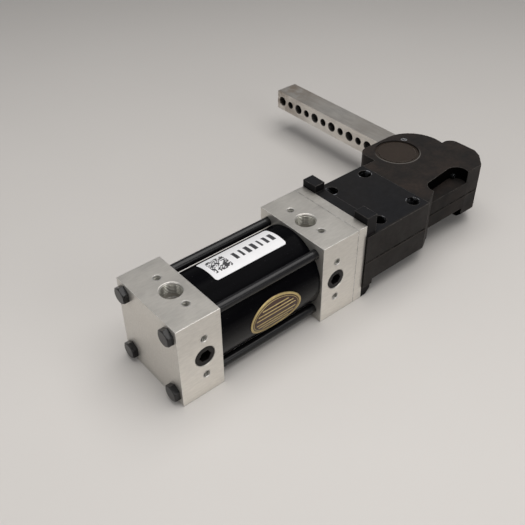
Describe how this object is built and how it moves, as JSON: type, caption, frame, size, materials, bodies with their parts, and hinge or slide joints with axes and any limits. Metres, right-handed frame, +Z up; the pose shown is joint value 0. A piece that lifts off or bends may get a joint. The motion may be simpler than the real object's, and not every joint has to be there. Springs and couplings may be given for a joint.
{
  "type": "pneumatic arm clamp",
  "caption": "Air cylinder with square end caps and tie rods, joined to a two-half clamp head that swings a drilled bar arm through a quarter turn.",
  "frame": {"origin": "middle of the rear cap's underside, the face the cylinder rests on", "axes": "+X from the rear cap along the cylinder to the clamp head, +Y towards the end of the arm when clamped, +Z up"},
  "size_m": [0.3693, 0.2735, 0.0832],
  "materials": {
    "badge_gold": "gold-coloured plate",
    "band_plastic": "matte",
    "bar_steel": "ground, light milling marks",
    "black_oxide": "black oxide, slightly worn",
    "black_tube": "glossy black",
    "bright_steel": "ground",
    "bronze": "machined bronze",
    "hard_chrome": "polished",
    "head_black": "dark brown-black casting",
    "hub_steel": "dark machined steel",
    "label_film": "plain white film",
    "machined_aluminium": "fine milled",
    "plate_aluminium": "fine milled",
    "seal_rubber": "matte"
  },
  "bodies": {
    "frame_body": {"rear_cap": "machined_aluminium", "front_cap": "machined_aluminium", "retainer_plate": "plate_aluminium", "barrel_tube": "black_tube", "tube_seals": "seal_rubber", "tie_rods": "black_oxide", "port_plugs": "black_oxide", "tube_label": "label_film", "oval_badge": "badge_gold", "rod_bushing": "bronze", "rod_seal": "seal_rubber", "gland_seal": "seal_rubber", "rod_wiper": "seal_rubber", "head_upper": "head_black", "head_lower": "head_black", "stop_screw": "bright_steel", "head_screws": "black_oxide", "head_dowels": "bright_steel", "pivot_pin": "bright_steel", "pivot_caps": "head_black", "oil_plug": "bright_steel", "thrust_washers": "bronze"},
    "arm": {"arm_hub": "hub_steel", "hub_bushing": "bronze", "crank_pin": "bright_steel", "arm_bar": "bar_steel", "arm_screws": "black_oxide", "arm_dowels": "bright_steel"},
    "rod": {"piston": "machined_aluminium", "piston_seals": "seal_rubber", "wear_band": "band_plastic", "piston_nut": "hub_steel", "piston_rod": "hard_chrome", "rod_lock_nut": "hub_steel", "yoke_block": "hub_steel", "yoke_plates": "hub_steel", "yoke_screws": "black_oxide"},
    "rollers": {"crank_rollers": "bright_steel"}
  },
  "joints": [
    {"name": "arm_swing", "type": "hinge", "parent": "frame_body", "child": "arm", "pos_m": [0.28768, 0.0365, 0.0381], "axis": [0, 0, -1], "range_deg": [0, 90]},
    {"name": "rod_slide", "type": "slide", "parent": "frame_body", "child": "rod", "axis": [1, 0, 0], "range_m": [-0.05247, 0]},
    {"name": "roller_spin", "type": "hinge", "parent": "arm", "child": "rollers", "pos_m": [0.31313, 0.01104, 0.0381], "axis": [0, 0, 1], "continuous": true}
  ],
  "couplings": [
    {"joint": "rod_slide", "follows": "arm_swing", "m_per_rad": -0.033277}
  ]
}
